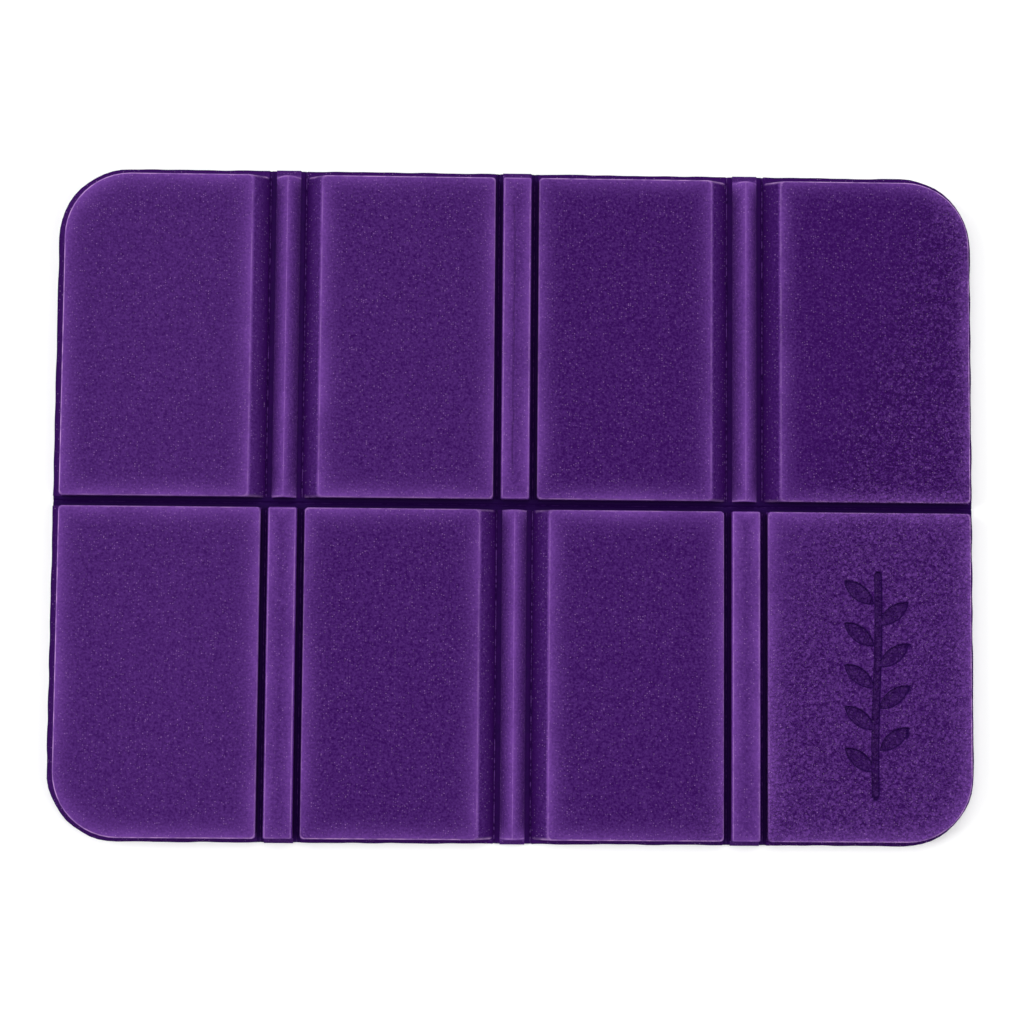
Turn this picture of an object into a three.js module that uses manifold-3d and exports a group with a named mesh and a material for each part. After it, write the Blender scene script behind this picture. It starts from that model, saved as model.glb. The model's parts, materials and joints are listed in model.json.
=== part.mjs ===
// Folding foam kneeling and seat pad: two rows of four thick panels, joined by thin living hinges.
//
// Millimetres. The origin is the centre of the underside when the pad lies open. +X runs along
// the long side, +Y from the near row to the far row and +Z up. The underside is flat.
//
// The rows fold back to back along the crease. The doubled pad then folds like a concertina at
// three cross folds. Each cross fold has two hinge lines with a spine between them, so that it
// turns through 180 degrees around the thickness of two panels. Across the folds the rows take
// turns: where one row has a flat spine between two slits, which opens, the other has a domed
// spine in a vee groove, which closes.

import * as THREE from "three";
import { mergeVertices } from "three/addons/utils/BufferGeometryUtils.js";
import Module from "manifold-3d";

const wasm = await Module();
wasm.setup();

// Driving dimensions of the open pad
const LENGTH = 390;
const WIDTH = 285;
const THICKNESS = 7.4;
const CORNER_RADIUS = 30;

// The thin rim outside the thick panels, and the living hinges, are the same pressed sheet
const SHEET = 1.0;
const RIM = { left: 3.4, right: 1.9, near: 2.0, far: 2.8 };

// Cross folds: their pitch, the spacing of the two hinge lines of one, and the slit over a line
const FOLD_PITCH = 97.6;
const HINGE_SPACING = 15.2;
const SLIT = 3.0;

// The slit between the rows
const CREASE = 4.0;

// A vee groove's side starts this far outside its hinge line, level with the sheet. It runs out
// this much further to the panel's top.
const VEE_FOOT = 0.45;
const VEE_RUN = 6.75;

// The domed spine, which fits between the two sides of its vee when they close over it
const DOME_WIDTH = 10.4;
const DOME_HEIGHT = 5.8;
const DOME_STEPS = 12;

// A living hinge is its own node and stops this far short of what it joins
const GAP = 0.3;

const CORNER_STEPS = 10;

// Sizes that follow
const HALF_LENGTH = LENGTH / 2;
const HALF_WIDTH = WIDTH / 2;
const HALF_CREASE = CREASE / 2;
const HINGE_OFFSET = HINGE_SPACING / 2;
const FLAT_SPINE_WIDTH = HINGE_SPACING - SLIT;
const FOLDS = [
  { name: "12", x: -FOLD_PITCH },
  { name: "23", x: 0 },
  { name: "34", x: FOLD_PITCH },
];
const ROWS = [
  { name: "near", side: -1, grooves: ["slit", "vee", "slit"] },
  { name: "far", side: 1, grooves: ["vee", "slit", "vee"] },
];

// Pressed closed-cell foam: the same purple all through, a little paler on the narrow spines
const PANEL_FOAM = new THREE.MeshStandardMaterial({ color: 0x48226b, roughness: 0.62, metalness: 0 });
const SPINE_FOAM = new THREE.MeshStandardMaterial({ color: 0x5a3480, roughness: 0.6, metalness: 0 });
const HINGE_FOAM = new THREE.MeshStandardMaterial({ color: 0x1e0c34, roughness: 0.55, metalness: 0 });

const pad = new THREE.Group();
pad.name = "folding_pad";

function solidOf(geometry) {
  geometry.deleteAttribute("normal");
  geometry.deleteAttribute("uv");
  const merged = mergeVertices(geometry, 1e-4);
  const mesh = new wasm.Mesh({
    numProp: 3,
    vertProperties: merged.attributes.position.array,
    triVerts: new Uint32Array(merged.index.array),
  });
  return new wasm.Manifold(mesh);
}

function addNode(name, solid, material) {
  const mesh = solid.getMesh();
  const geometry = new THREE.BufferGeometry();
  geometry.setAttribute("position", new THREE.BufferAttribute(mesh.vertProperties, 3));
  geometry.setIndex(new THREE.BufferAttribute(mesh.triVerts, 1));
  geometry.computeVertexNormals();
  const node = new THREE.Mesh(geometry, material);
  node.name = name;
  pad.add(node);
}

// A section in X and Z, given anticlockwise as seen from the near side, run from y0 to y1
function alongY(points, y0, y1) {
  const section = new THREE.Shape(points.map(([x, z]) => new THREE.Vector2(x, z)));
  const geometry = new THREE.ExtrudeGeometry(section, { depth: y1 - y0, bevelEnabled: false });
  geometry.rotateX(Math.PI / 2);
  geometry.translate(0, y1, 0);
  return solidOf(geometry);
}

function block(x0, x1, y0, y1, height) {
  const geometry = new THREE.BoxGeometry(x1 - x0, y1 - y0, height);
  geometry.translate((x0 + x1) / 2, (y0 + y1) / 2, height / 2);
  return solidOf(geometry);
}

// The whole pad's outline, drawn in by an inset on each side, as a plate standing on the underside
function roundedPlate(inset, radius, height) {
  const left = -HALF_LENGTH + inset.left;
  const right = HALF_LENGTH - inset.right;
  const near = -HALF_WIDTH + inset.near;
  const far = HALF_WIDTH - inset.far;
  const outline = new THREE.Shape();
  outline.absarc(right - radius, far - radius, radius, 0, Math.PI / 2);
  outline.absarc(left + radius, far - radius, radius, Math.PI / 2, Math.PI);
  outline.absarc(left + radius, near + radius, radius, Math.PI, 1.5 * Math.PI);
  outline.absarc(right - radius, near + radius, radius, 1.5 * Math.PI, 2 * Math.PI);
  const options = { depth: height, bevelEnabled: false, curveSegments: CORNER_STEPS };
  return solidOf(new THREE.ExtrudeGeometry(outline, options));
}

const WHOLE_SHEET = roundedPlate({ left: 0, right: 0, near: 0, far: 0 }, CORNER_RADIUS, SHEET);
const MEAN_RIM = (RIM.left + RIM.right + RIM.near + RIM.far) / 4;
const THICK_AREA = roundedPlate(RIM, CORNER_RADIUS - MEAN_RIM, THICKNESS);

// The Y range of a row, from the crease out to the edge of the pad
function rowSpan(row) {
  const ends = [row.side * HALF_CREASE, row.side * HALF_WIDTH];
  return [Math.min(...ends), Math.max(...ends)];
}

// How far the foot of a panel's side is from the middle of the fold beside it
function footOffset(groove) {
  return HINGE_OFFSET + (groove === "vee" ? VEE_FOOT : SLIT / 2);
}

// One side of a panel's section, from the underside up: inward is +1 on its left side, -1 on its right
function panelSide(groove, x, inward) {
  if (groove !== "vee") return [[x, 0], [x, THICKNESS]];
  return [[x, 0], [x, SHEET], [x + inward * VEE_RUN, THICKNESS]];
}

function addPanel(row, column) {
  const first = column === 0;
  const last = column === FOLDS.length;
  const leftGroove = first ? "edge" : row.grooves[column - 1];
  const rightGroove = last ? "edge" : row.grooves[column];
  const x0 = first ? -HALF_LENGTH : FOLDS[column - 1].x + footOffset(leftGroove);
  const x1 = last ? HALF_LENGTH : FOLDS[column].x - footOffset(rightGroove);
  const [y0, y1] = rowSpan(row);
  const leftSide = panelSide(leftGroove, x0, 1);
  const rightSide = panelSide(rightGroove, x1, -1);
  const thick = alongY([...rightSide, ...leftSide.reverse()], y0, y1).intersect(THICK_AREA);
  const rim = block(x0, x1, y0, y1, SHEET).intersect(WHOLE_SHEET);
  addNode(`${row.name}_panel_${column + 1}`, thick.add(rim), PANEL_FOAM);
}

// A domed spine's section: upright as high as the sheet, then one half wave
function domeSection(x) {
  const half = DOME_WIDTH / 2;
  const points = [[x - half, 0], [x + half, 0]];
  for (let i = 0; i <= DOME_STEPS; i++) {
    const offset = half * (1 - (2 * i) / DOME_STEPS);
    const rise = Math.cos((Math.PI / 2) * (offset / half));
    points.push([x + offset, SHEET + (DOME_HEIGHT - SHEET) * rise]);
  }
  return points;
}

function flatSection(x) {
  const half = FLAT_SPINE_WIDTH / 2;
  return [[x - half, 0], [x + half, 0], [x + half, THICKNESS], [x - half, THICKNESS]];
}

function spineHalfWidth(groove) {
  return (groove === "vee" ? DOME_WIDTH : FLAT_SPINE_WIDTH) / 2;
}

function addSpine(row, fold, groove) {
  const [y0, y1] = rowSpan(row);
  const section = groove === "vee" ? domeSection(fold.x) : flatSection(fold.x);
  const half = spineHalfWidth(groove);
  const thick = alongY(section, y0, y1).intersect(THICK_AREA);
  const rim = block(fold.x - half, fold.x + half, y0, y1, SHEET);
  addNode(`${row.name}_spine_${fold.name}`, thick.add(rim), SPINE_FOAM);
}

// The living hinges on both sides of a spine, each across its slit or the bottom of its groove
function addCrossHinges(row, fold, groove) {
  const [y0, y1] = rowSpan(row);
  const inner = spineHalfWidth(groove) + GAP;
  const outer = footOffset(groove) - GAP;
  for (const [sideName, direction] of [["left", -1], ["right", 1]]) {
    const ends = [fold.x + direction * inner, fold.x + direction * outer];
    const strip = block(Math.min(...ends), Math.max(...ends), y0, y1, SHEET);
    addNode(`${row.name}_hinge_${fold.name}_${sideName}`, strip, HINGE_FOAM);
  }
}

// The crease between the rows is cut at the hinge lines, so that each length turns with its column
function addCreaseHinges() {
  const cuts = FOLDS.flatMap((fold) => [fold.x - HINGE_OFFSET, fold.x + HINGE_OFFSET]);
  const stops = [-HALF_LENGTH, ...cuts, HALF_LENGTH];
  const names = ["1", "12", "2", "23", "3", "34", "4"];
  const reach = HALF_CREASE - GAP;
  names.forEach((name, i) => {
    const x0 = stops[i] + (i === 0 ? 0 : GAP / 2);
    const x1 = stops[i + 1] - (i === names.length - 1 ? 0 : GAP / 2);
    addNode(`crease_hinge_${name}`, block(x0, x1, -reach, reach, SHEET), HINGE_FOAM);
  });
}

for (const row of ROWS) {
  for (let column = 0; column <= FOLDS.length; column++) addPanel(row, column);
  FOLDS.forEach((fold, i) => {
    addSpine(row, fold, row.grooves[i]);
    addCrossHinges(row, fold, row.grooves[i]);
  });
}
addCreaseHinges();

export default pad;
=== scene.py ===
"""Looks of a folding foam kneeling pad: pressed foam panels, spines and living hinges.

Metres throughout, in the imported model's own frame. The pad lies open with its underside at z = 0,
+X along its long side and +Y from the near row to the far row.
"""

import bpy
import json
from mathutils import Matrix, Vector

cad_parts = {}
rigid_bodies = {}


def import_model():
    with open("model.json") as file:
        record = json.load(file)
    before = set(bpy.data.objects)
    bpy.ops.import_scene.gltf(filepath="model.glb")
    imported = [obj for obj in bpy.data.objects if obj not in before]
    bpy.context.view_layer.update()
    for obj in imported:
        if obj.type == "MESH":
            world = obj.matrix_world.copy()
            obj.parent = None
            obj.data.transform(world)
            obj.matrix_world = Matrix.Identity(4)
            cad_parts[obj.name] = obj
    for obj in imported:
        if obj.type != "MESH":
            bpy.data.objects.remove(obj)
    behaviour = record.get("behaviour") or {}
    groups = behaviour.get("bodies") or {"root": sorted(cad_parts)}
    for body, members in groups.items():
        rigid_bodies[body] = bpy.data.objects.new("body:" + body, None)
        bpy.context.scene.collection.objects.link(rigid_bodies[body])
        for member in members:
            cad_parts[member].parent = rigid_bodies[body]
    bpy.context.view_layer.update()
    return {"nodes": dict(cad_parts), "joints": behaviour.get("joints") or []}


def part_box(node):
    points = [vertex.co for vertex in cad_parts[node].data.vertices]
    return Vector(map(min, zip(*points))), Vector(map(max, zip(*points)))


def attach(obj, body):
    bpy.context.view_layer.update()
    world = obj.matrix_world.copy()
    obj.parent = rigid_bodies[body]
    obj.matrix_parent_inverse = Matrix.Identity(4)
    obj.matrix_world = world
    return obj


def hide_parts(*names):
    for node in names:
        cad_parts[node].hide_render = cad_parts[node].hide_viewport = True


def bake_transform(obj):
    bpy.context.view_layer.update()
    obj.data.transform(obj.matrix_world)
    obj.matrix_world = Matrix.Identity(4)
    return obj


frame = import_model()

import json
import math
from functools import partial

import bpy
import numpy as np
from bpy.props import FloatProperty, FloatVectorProperty, PointerProperty
from mathutils import Matrix, Vector

bl_info = {
    "name": "Folding foam pad",
    "version": (1, 0, 0),
    "blender": (4, 5, 0),
    "location": "View3D > Sidebar > Foam pad",
    "description": "Makes the pressed foam pieces of a folding kneeling pad and its studio",
    "category": "Object",
}

MM = 0.001
SHARP_ANGLE = math.radians(50)
ROWS = ("near", "far")
COLUMNS = ("1", "2", "3", "4")
FOLDS = ("12", "23", "34")
VEE_FOLDS = {"near": ("23",), "far": ("12", "34")}
CREASE_LENGTHS = ("1", "12", "2", "23", "3", "34", "4")

# Levels and widths that the frame gives
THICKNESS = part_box("near_panel_1")[1].z
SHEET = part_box("crease_hinge_1")[1].z
HALF_CREASE = -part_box("near_panel_1")[1].y


def linear(hex_colour):
    """An sRGB hex value as linear red, green, blue and an alpha of 1."""
    parts = [int(hex_colour[i:i + 2], 16) / 255 for i in (1, 3, 5)]
    return tuple(p / 12.92 if p <= 0.04045 else ((p + 0.055) / 1.055) ** 2.4 for p in parts) + (1.0,)


def hinge_line(body_a, body_b):
    """The X of the hinge axis between two bodies of the near row."""
    for joint in frame["joints"]:
        if {joint["parent"], joint["child"]} == {body_a, body_b}:
            return joint["pos_m"][0]
    raise ValueError(f"no hinge joins {body_a} and {body_b}")


def corners_above(node, level):
    """Lowest and highest corner, in X and Y, of what a CAD node has above a level."""
    places = np.array([v.co for v in frame["nodes"][node].data.vertices])
    above = places[places[:, 2] > level]
    return above[:, :2].min(0), above[:, :2].max(0)


# ---------------------------------------------------------------- settings


class FoamShape(bpy.types.PropertyGroup):
    """Sizes of the pressed foam that the frame leaves open."""

    outline_radius: FloatProperty(
        name="Outline radius", description="Corner radius of the whole sheet",
        default=30 * MM, unit="LENGTH",
    )
    plate_radius: FloatProperty(
        name="Panel corner radius", description="Corner radius of the thick foam at the pad's corners",
        default=27.475 * MM, unit="LENGTH",
    )
    inner_radius: FloatProperty(
        name="Inner corner radius", description="Corner radius of a panel beside the folds",
        default=1.5 * MM, unit="LENGTH",
    )
    edge_radius: FloatProperty(
        name="Edge rounding", description="Radius of a panel's and spine's top edge",
        default=1.1 * MM, unit="LENGTH",
    )
    crown_drop: FloatProperty(
        name="Crown", description="How much lower a panel is at its edge than in its middle",
        default=0.65 * MM, unit="LENGTH",
    )
    crown_reach: FloatProperty(
        name="Crown reach", description="How far the crown runs in from the edge",
        default=16 * MM, unit="LENGTH",
    )
    rim_wander: FloatProperty(
        name="Rim wander", description="How far the trimmed rim strays inward",
        default=0.35 * MM, unit="LENGTH",
    )
    motif_depth: FloatProperty(
        name="Sprig depth", description="Depth of the pressed leaf sprig",
        default=1.0 * MM, unit="LENGTH",
    )
    tuck: FloatProperty(
        name="Tuck", description="How far a living hinge reaches into the foam beside it",
        default=0.4 * MM, unit="LENGTH",
    )


class FoamColours(bpy.types.PropertyGroup):
    """Colours of the foam and the studio."""

    foam: FloatVectorProperty(
        name="Foam", description="Skin of the pressed foam", subtype="COLOR", size=4,
        default=linear("#2D054D"), min=0, max=1,
    )
    # Painted sheen: this paler colour stands for stretched skin and painted sheen near the edges, and colours
    # the web's pale crackled line
    stretched_skin_and_sheen: FloatVectorProperty(
        name="Stretched foam", description="Paler skin where the press stretched it over an edge",
        subtype="COLOR", size=4, default=linear("#653A8A"), min=0, max=1,
    )
    # Painted highlight: this colour paints the highlight along the top edges and at the slope ends, partly
    # rubbed wear, and the glints of the bright specks
    wear_and_highlight: FloatVectorProperty(
        name="Rubbed foam", description="Open cells that catch the light on edges and in specks",
        subtype="COLOR", size=4, default=linear("#BE93CC"), min=0, max=1,
    )
    # This colour is the dense foam of the webs, and also the painted shade in the pressed sprig
    deep: FloatVectorProperty(
        name="Deep foam", description="Dense foam of the living hinges", subtype="COLOR", size=4,
        default=linear("#1D023C"), min=0, max=1,
    )
    floor: FloatVectorProperty(
        name="Floor", description="Paper that the pad lies on", subtype="COLOR", size=4,
        default=linear("#F6F6F6"), min=0, max=1,
    )


# ---------------------------------------------------------------- nodes


def add_node(tree, kind, inputs=None, **settings):
    """Adds a node with its settings and links. An input is a value, a socket, or a node's first output."""
    node = tree.nodes.new(kind)
    for name, value in settings.items():
        setattr(node, name, value)
    for key, value in (inputs or {}).items():
        if isinstance(value, bpy.types.Node):
            value = value.outputs[0]
        if isinstance(value, bpy.types.NodeSocket):
            tree.links.new(value, node.inputs[key])
        else:
            node.inputs[key].default_value = value
    return node


def shape_tree(name, inputs):
    """An empty geometry tree with named inputs, each given as name: socket type."""
    tree = bpy.data.node_groups.new(name, "GeometryNodeTree")
    for label, kind in inputs.items():
        tree.interface.new_socket(label, in_out="INPUT", socket_type=kind)
    tree.interface.new_socket("Geometry", in_out="OUTPUT", socket_type="NodeSocketGeometry")
    return tree, tree.nodes.new("NodeGroupInput").outputs


def finish_tree(tree, geometry, material):
    """Ends a geometry tree in real, painted faces."""
    smooth = add_node(tree, "GeometryNodeSetShadeSmooth", {0: geometry})
    real = add_node(tree, "GeometryNodeRealizeInstances", {0: smooth})
    painted = add_node(tree, "GeometryNodeSetMaterial", {"Geometry": real, "Material": material})
    add_node(tree, "NodeGroupOutput", {0: painted})


def piece_from_tree(name, tree, values):
    """A plain mesh object made by a geometry tree with these input values."""
    maker = bpy.data.objects.new(name, bpy.data.meshes.new(name))
    bpy.context.scene.collection.objects.link(maker)
    modifier = maker.modifiers.new("Shape", "NODES")
    modifier.node_group = tree
    for item in tree.interface.items_tree:
        if item.in_out == "INPUT":
            modifier[item.identifier] = values[item.name]
    made = maker.evaluated_get(bpy.context.evaluated_depsgraph_get())
    mesh = bpy.data.meshes.new_from_object(made)
    maker.modifiers.clear()
    maker.data = mesh
    mesh.name = name
    mesh.set_sharp_from_angle(angle=SHARP_ANGLE)
    return maker


# ---------------------------------------------------------------- foam panels

# How finely a panel is divided: its rounded edge, its corners, the loops below its wall, those of the rim
# alone, the loops up its wall and over its crown, and the faces along its sides and beside the sprig
EDGE_STEPS = 7
ARC_STEPS = 6
BASE_LOOPS = 4
RIM_LOOPS = 3
WALL_STOPS = (0.15, 0.35, 0.55, 0.75, 0.9)
CROWN_RINGS = (0.02, 0.045, 0.075, 0.11, 0.155, 0.21, 0.28, 0.36, 0.46, 0.58, 0.72, 0.86, 1.0)
PANEL_STEP = 1.15 * MM
SPRIG_STEP = 0.62 * MM

# A steep wall leans in this far. Corners at the foot of a wall beside the folds are almost sharp. Running
# in from the edge, the pad's own corners shrink by this share of the way, and the others grow.
LEAST_RUN = 0.12 * MM
FOOT_RADIUS = 0.4 * MM
CORNER_SHRINK = 0.72
CORNER_GROWTH = 0.5
VEE_EDGE = 1.6
CROWN_POWER = 2.5

# Size of the bumps in the trimmed rim, and size and depth of the low swells of the top
STRAY_SIZE = 9 * MM
SWELL_SIZE = 22 * MM
SWELL_DEPTH = 0.05 * MM
FULL_SWELL = 2 * MM

# Each panel's painted light, brighter towards the pad's left where the key lamp shines from and on the near
# right panel's sheen, the painted highlight along its top edge on each kind of side, partly rubbed wear, and
# the painted highlight at the end of a vee groove's slope at the pad's outside and at the crease
PANEL_PAINTED_LIGHT = {"near": (0.6, 0.35, 0.3, 0.55), "far": (0.62, 0.45, 0.2, 0.05)}
EDGE_HIGHLIGHT = {"outer": 1.0, "crease": 0.5, "slit": 0.35, "vee": 0.22}
SLOPE_END_HIGHLIGHT = {"outer": 0.5, "crease": 0.25}

# The skin turns leathery towards the pad's right end, from here at its middle, over this far
LEATHERY_FROM = 105 * MM
LEATHERY_FADE = 45 * MM
LEATHERY_SLANT = 0.35

# The underside counts as this far down from the top edge
UNDERSIDE_REACH = -20 * MM

# The pressed sprig: a stem with leaves on alternate sides, along the panel's longer side
SPRIG_LENGTH = 92 * MM
SPRIG_HALF_WIDTH = 13 * MM
SPRIG_OFFSET = (2.7 * MM, -3.5 * MM)
SPRIG_MARGIN = 1.5 * MM
SPRIG_WANDER = 0.8 * MM
SPRIG_WALL = 0.8 * MM
FIRST_LEAF = 12 * MM
LEAF_REACH = 22 * MM
LEAF_ROOT = 1.2 * MM
STEM_HALF_WIDTH = 1.5 * MM
LEAVES = 9
LEAF_LENGTH = 15.5 * MM
LEAF_HALF_WIDTH = 3.1 * MM
LEAF_TILT = math.radians(52)


def uneven(x, y, size, seed):
    """Smooth unevenness from -1 to 1 with bumps about this size across, as a sum of waves."""
    waves = np.random.default_rng(seed)
    total = np.zeros_like(x)
    for _ in range(7):
        turn, phase = waves.uniform(0, 2 * math.pi), waves.uniform(0, 2 * math.pi)
        pitch = waves.uniform(0.7, 1.6)
        total += np.sin((x * math.cos(turn) + y * math.sin(turn)) * math.pi * pitch / size + phase)
    return np.tanh(total / 3)


def smooth_step(value):
    value = np.clip(value, 0, 1)
    return value * value * (3 - 2 * value)


def side_section(kind, rim, run, shape):
    """A panel's section in from one side: how far in, how high and how far past the top edge a loop is."""
    top = THICKNESS - shape.crown_drop
    if kind == "outer":
        low = [(0, 0), (0, 0.7 * SHEET), (0.2 * MM, 0.98 * SHEET), (rim - 0.35 * MM, SHEET)]
    else:
        low = [(0, 0), (0, 0.5 * SHEET), (0, 0.9 * SHEET), (0, SHEET)]
    foot = (rim, SHEET + 0.3 * MM)
    low.append(foot)
    rise = top - foot[1]
    corner = foot[0] + run
    slope = math.atan2(rise, run)
    radius = shape.edge_radius * (VEE_EDGE if kind == "vee" else 1)
    reach = radius * math.tan(slope / 2)
    arc = []
    for i in range(EDGE_STEPS):
        turn = slope * (1 - i / (EDGE_STEPS - 1))
        arc.append((corner + reach - radius * math.sin(turn), top - radius + radius * math.cos(turn)))
    start = arc[0]
    wall = [(foot[0] + t * (start[0] - foot[0]), foot[1] + t * (start[1] - foot[1])) for t in WALL_STOPS]
    crown = []
    for t in CROWN_RINGS:
        level = THICKNESS - shape.crown_drop * (1 - t) ** CROWN_POWER
        crown.append((arc[-1][0] + t * shape.crown_reach, level))
    places = np.array(low + wall + arc + crown)
    run_length = np.concatenate([[0], np.cumsum(np.hypot(*np.diff(places, axis=0).T))])
    middle = len(low) + len(wall) + EDGE_STEPS // 2
    return places[:, 0], places[:, 1], run_length - run_length[middle]


def fractions(length, fine_low=None, fine_high=None):
    """Places along one side from 0 to 1, closer together between two distances along it."""
    stops = [0.0]
    while stops[-1] < length:
        fine = fine_low is not None and fine_low <= stops[-1] <= fine_high
        stops.append(stops[-1] + (SPRIG_STEP if fine else PANEL_STEP))
    return np.array(stops) / stops[-1]


class Outline:
    """A rounded rectangle's four sides, each from the middle of one corner to the middle of the next.

    Sides and corners are in the order near, right, far, left and near-left, near-right, far-right, far-left.
    """

    def __init__(self, low, high, insets, radii, steps):
        x0, x1 = low[0] + insets[3], high[0] - insets[1]
        y0, y1 = low[1] + insets[0], high[1] - insets[2]
        corners = [(x0, y0, 1, 1), (x1, y0, -1, 1), (x1, y1, -1, -1), (x0, y1, 1, -1)]
        centres = [np.array([x + sx * r, y + sy * r]) for (x, y, sx, sy), r in zip(corners, radii)]
        self.sides, self.inward, self.blends = [], [], []
        for k in range(4):
            start = math.radians(225 + 90 * k)
            first = start + np.linspace(0, math.pi / 4, ARC_STEPS + 1)
            last = start + np.linspace(math.pi / 4, math.pi / 2, ARC_STEPS + 1)
            leave = centres[k] + radii[k] * np.stack([np.cos(first), np.sin(first)], 1)
            arrive = centres[(k + 1) % 4] + radii[(k + 1) % 4] * np.stack([np.cos(last), np.sin(last)], 1)
            middle = leave[-1] + steps[k][1:-1, None] * (arrive[0] - leave[-1])
            self.sides.append(np.concatenate([leave, middle, arrive]))
            angles = np.concatenate([first, np.full(len(middle), first[-1]), last])
            self.inward.append(-np.stack([np.cos(angles), np.sin(angles)], 1))
            before = 0.5 - 0.5 * np.linspace(0, 1, ARC_STEPS + 1)
            after = 0.5 * np.linspace(0, 1, ARC_STEPS + 1)
            self.blends.append((np.concatenate([before, np.zeros(len(middle) + ARC_STEPS + 1)]),
                                np.concatenate([np.zeros(ARC_STEPS + 1 + len(middle)), after])))

    def ring(self, per_side):
        """One value for each point of the loop, from one for each side, easing round the corners."""
        values = []
        for k, (before, after) in enumerate(self.blends):
            here = 1 - smooth_step(before) - smooth_step(after)
            side = here * per_side[k] + smooth_step(before) * per_side[k - 1]
            side = side + smooth_step(after) * per_side[(k + 1) % 4]
            values.append(side[:-1])
        return np.concatenate(values)

    def corner_ring(self, per_corner):
        """One value for each point of the loop: a corner's own at its middle, and 0 along the sides."""
        values = []
        for k, (before, after) in enumerate(self.blends):
            near_it = smooth_step(before) * per_corner[k] + smooth_step(after) * per_corner[(k + 1) % 4]
            values.append(2 * near_it[:-1])
        return np.concatenate(values)

    def loop(self):
        """The outline's points, once each."""
        return np.concatenate([side[:-1] for side in self.sides])

    def loop_inward(self):
        """The direction inward at each point."""
        return np.concatenate([side[:-1] for side in self.inward])


def patch(near, right, far, left):
    """Points that fill a loop of four sides, each side given as it runs round the loop."""
    far, left = far[::-1], left[::-1]
    u = (near[:, 0] - near[0, 0]) / (near[-1, 0] - near[0, 0])
    v = (left[:, 1] - left[0, 1]) / (left[-1, 1] - left[0, 1])
    u, v = u[None, :, None], v[:, None, None]
    ruled = (1 - v) * near[None] + v * far[None] + (1 - u) * left[:, None] + u * right[:, None]
    corners = (1 - u) * (1 - v) * near[0] + u * (1 - v) * near[-1] + (1 - u) * v * far[0] + u * v * far[-1]
    return ruled - corners


def patch_numbers(loop_numbers, columns, rows, first_new):
    """Vertex numbers of a patch: its border is the loop's, and its inside is new."""
    numbers = np.zeros((rows + 1, columns + 1), int)
    numbers[0, :] = loop_numbers[:columns + 1]
    numbers[:, -1] = loop_numbers[columns:columns + rows + 1]
    numbers[-1, ::-1] = loop_numbers[columns + rows:2 * columns + rows + 1]
    numbers[::-1, 0] = np.append(loop_numbers, loop_numbers[0])[2 * columns + rows:]
    inside = (rows - 1) * (columns - 1)
    numbers[1:-1, 1:-1] = first_new + np.arange(inside).reshape(rows - 1, columns - 1)
    return numbers


def grid_faces(numbers):
    """Faces of a grid of vertex numbers, seen from above."""
    a, b, c, d = numbers[:-1, :-1], numbers[:-1, 1:], numbers[1:, 1:], numbers[1:, :-1]
    return np.stack([a, b, c, d], -1).reshape(-1, 4)


def sprig_depth(x, y):
    """How deep the pressed sprig is, from 0 to 1, about its own middle. Its stem runs along Y."""
    half = SPRIG_LENGTH / 2
    wander = SPRIG_WANDER * np.sin(y / half * 2.2)
    distance = np.hypot(x - wander, np.maximum(np.abs(y) - half, 0)) - STEM_HALF_WIDTH
    bow = (LEAF_LENGTH ** 2 / 4 + LEAF_HALF_WIDTH ** 2) / (2 * LEAF_HALF_WIDTH)
    for i in range(LEAVES):
        side = 1 if i % 2 else -1
        root_y = half - FIRST_LEAF - i * (SPRIG_LENGTH - LEAF_REACH) / (LEAVES - 1)
        along = np.array([side * math.sin(LEAF_TILT), math.cos(LEAF_TILT)])
        centre = np.array([side * LEAF_ROOT, root_y]) + along * LEAF_LENGTH / 2
        dx, dy = x - centre[0], y - centre[1]
        lengthwise, across = dx * along[0] + dy * along[1], dx * along[1] - dy * along[0]
        leaf = np.hypot(lengthwise, np.abs(across) + bow - LEAF_HALF_WIDTH) - bow
        distance = np.minimum(distance, leaf)
    return smooth_step(0.5 - distance / SPRIG_WALL)


def side_kinds(row, column):
    """What each side of a panel faces, in the order near, right, far, left."""
    kinds = ["outer", "outer", "crease", "outer"] if row == "near" else ["crease", "outer", "outer", "outer"]
    for side, fold in ((3, column - 1), (1, column)):
        if 0 <= fold < len(FOLDS):
            kinds[side] = "vee" if FOLDS[fold] in VEE_FOLDS[row] else "slit"
    return kinds


def slope_ends(kinds):
    """How strong the painted highlight at the slope's end is at each corner, or 0 where a corner has no
    slope.
    """
    ends = []
    for k in range(4):
        pair = {kinds[k - 1], kinds[k]}
        ends.append(SLOPE_END_HIGHLIGHT[(pair - {"vee"}).pop()] if "vee" in pair else 0.0)
    return ends


def corner_radii(kinds, sections, i, shape):
    """Radius of each corner of the loop with this number."""
    radii = []
    for k in range(4):
        past = min(sections[side][0][i] - sections[side][0][BASE_LOOPS] for side in (k - 1, k))
        if kinds[k] == kinds[k - 1] == "outer":
            radii.append(shape.outline_radius if i < RIM_LOOPS else shape.plate_radius - CORNER_SHRINK * past)
        elif i < BASE_LOOPS:
            radii.append(FOOT_RADIUS)
        else:
            radii.append(shape.inner_radius + CORNER_GROWTH * past * (i > BASE_LOOPS + len(WALL_STOPS)))
    return radii


def side_steps(low, high, marked_middle, shape):
    """Places along the sides, closer together beside the sprig where there is one."""
    inset = shape.crown_reach + 3 * MM
    steps = []
    for i, reach in enumerate((SPRIG_HALF_WIDTH, SPRIG_LENGTH / 2)):
        span, fine = high[i] - low[i], (None, None)
        if marked_middle is not None:
            ends = [marked_middle[i] + sign * (reach + SPRIG_MARGIN) for sign in (-1, 1)]
            fine = [(end - low[i] - inset) / (span - 2 * inset) * span for end in ends]
        steps.append(fractions(span, *fine))
    return steps


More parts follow.
